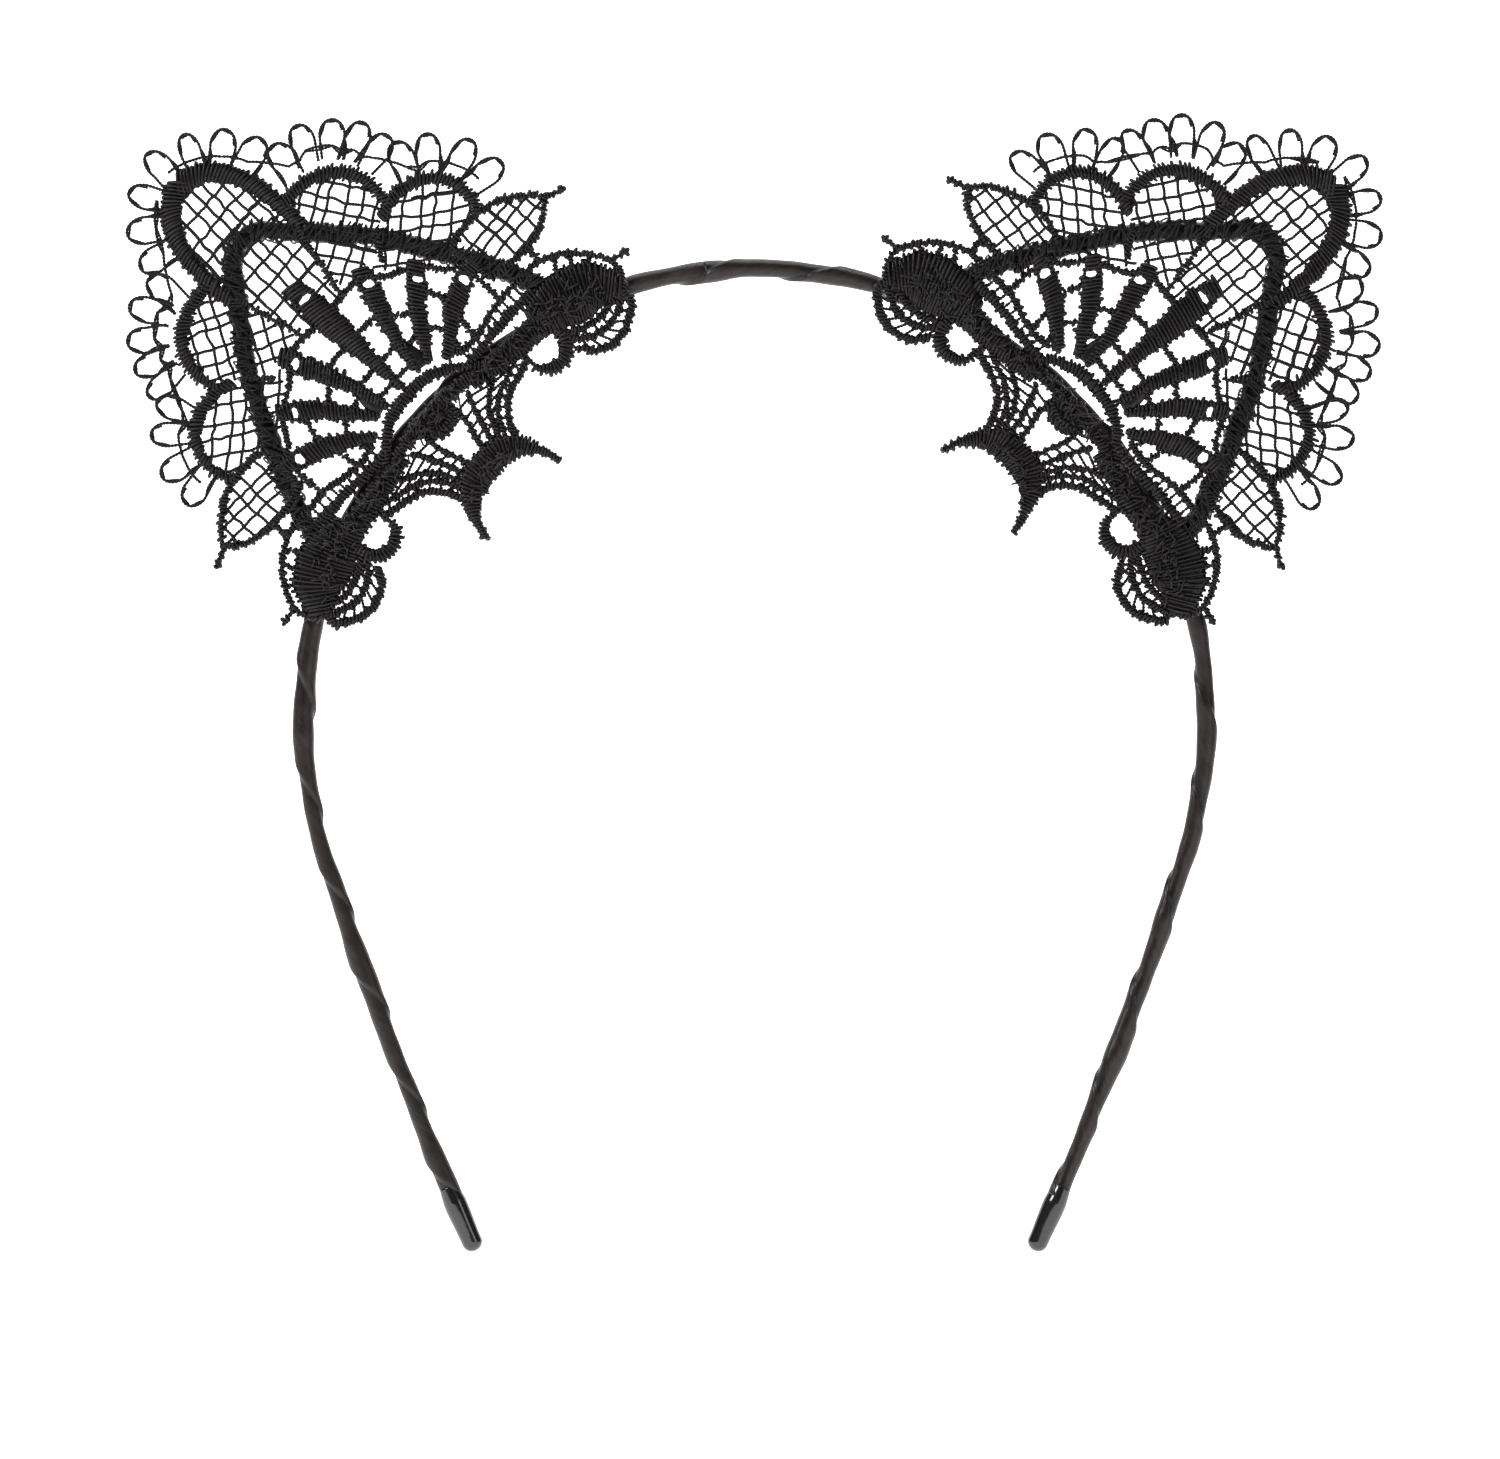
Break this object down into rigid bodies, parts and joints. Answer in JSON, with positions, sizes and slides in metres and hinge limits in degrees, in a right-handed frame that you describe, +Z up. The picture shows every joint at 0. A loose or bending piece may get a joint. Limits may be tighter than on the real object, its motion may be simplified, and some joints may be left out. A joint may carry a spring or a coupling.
{
  "type": "animal ears headband",
  "caption": "Springy ribbon-bound wire headband carrying wired lace cat ears that stand in front of the hoop and can be bent forward or back.",
  "frame": {"origin": "middle of the underside of the bound hoop at its crown, where the headband sits on the head", "axes": "+Z up, +X towards the right of a front view, and the front with the lace faces -Y"},
  "size_m": [0.1784, 0.0047, 0.1619],
  "materials": {
    "ribbon": "wound black satin ribbon",
    "spring_wire": "drawn spring wire",
    "lace_satin": "satin-stitched rayon thread",
    "lace_thread": "twisted rayon thread",
    "frame_wire": "soft annealed wire",
    "winding_ribbon": "narrow satin ribbon winding",
    "sewing_thread": "matt sewing thread",
    "dip_plastic": "dipped gloss"
  },
  "bodies": {
    "crown": {"crown_wire": "spring_wire", "crown_ribbon": "ribbon"},
    "left_shoulder": {"left_shoulder_wire": "spring_wire", "left_shoulder_ribbon": "ribbon", "left_base_scrolls": "lace_satin", "left_base_bridge": "lace_satin", "left_inner_foot_wire": "frame_wire", "left_outer_foot_wire": "frame_wire", "left_inner_foot_lashing": "sewing_thread", "left_outer_foot_lashing": "sewing_thread"},
    "left_leg": {"left_leg_wire": "spring_wire", "left_leg_ribbon": "ribbon", "left_end_bead": "dip_plastic"},
    "left_ear": {"left_ear_border": "lace_satin", "left_ear_fan": "lace_satin", "left_ear_net": "lace_thread", "left_ear_edge_loops": "lace_thread", "left_ear_wire": "frame_wire", "left_ear_winding": "winding_ribbon", "left_ear_tacks": "sewing_thread"},
    "right_shoulder": {"right_shoulder_wire": "spring_wire", "right_shoulder_ribbon": "ribbon", "right_base_scrolls": "lace_satin", "right_base_bridge": "lace_satin", "right_inner_foot_wire": "frame_wire", "right_outer_foot_wire": "frame_wire", "right_inner_foot_lashing": "sewing_thread", "right_outer_foot_lashing": "sewing_thread"},
    "right_leg": {"right_leg_wire": "spring_wire", "right_leg_ribbon": "ribbon", "right_end_bead": "dip_plastic"},
    "right_ear": {"right_ear_border": "lace_satin", "right_ear_fan": "lace_satin", "right_ear_net": "lace_thread", "right_ear_edge_loops": "lace_thread", "right_ear_wire": "frame_wire", "right_ear_winding": "winding_ribbon", "right_ear_tacks": "sewing_thread"}
  },
  "joints": [
    {"name": "left_side_spread", "type": "hinge", "parent": "crown", "child": "left_shoulder", "pos_m": [-0.01398, 0, -0.00018], "axis": [0, 1, 0], "range_deg": [-4, 9], "stiffness_Nm_per_rad": 0.5},
    {"name": "left_leg_spread", "type": "hinge", "parent": "left_shoulder", "child": "left_leg", "pos_m": [-0.06362, 0, -0.05203], "axis": [0, 1, 0], "range_deg": [-4, 8], "stiffness_Nm_per_rad": 0.4},
    {"name": "left_ear_tilt", "type": "hinge", "parent": "left_shoulder", "child": "left_ear", "pos_m": [-0.04813, 0, -0.01794], "axis": [0.6756, 0, 0.7373], "range_deg": [-25, 25]},
    {"name": "right_side_spread", "type": "hinge", "parent": "crown", "child": "right_shoulder", "pos_m": [0.01398, 0, -0.00018], "axis": [0, -1, 0], "range_deg": [-4, 9], "stiffness_Nm_per_rad": 0.5},
    {"name": "right_leg_spread", "type": "hinge", "parent": "right_shoulder", "child": "right_leg", "pos_m": [0.06362, 0, -0.05203], "axis": [0, -1, 0], "range_deg": [-4, 8], "stiffness_Nm_per_rad": 0.4},
    {"name": "right_ear_tilt", "type": "hinge", "parent": "right_shoulder", "child": "right_ear", "pos_m": [0.04739, 0, -0.01718], "axis": [0.6508, 0, -0.7593], "range_deg": [-25, 25]}
  ],
  "couplings": [
    {"joint": "left_leg_spread", "follows": "left_side_spread", "ratio": 0.8},
    {"joint": "right_leg_spread", "follows": "right_side_spread", "ratio": 0.8}
  ]
}
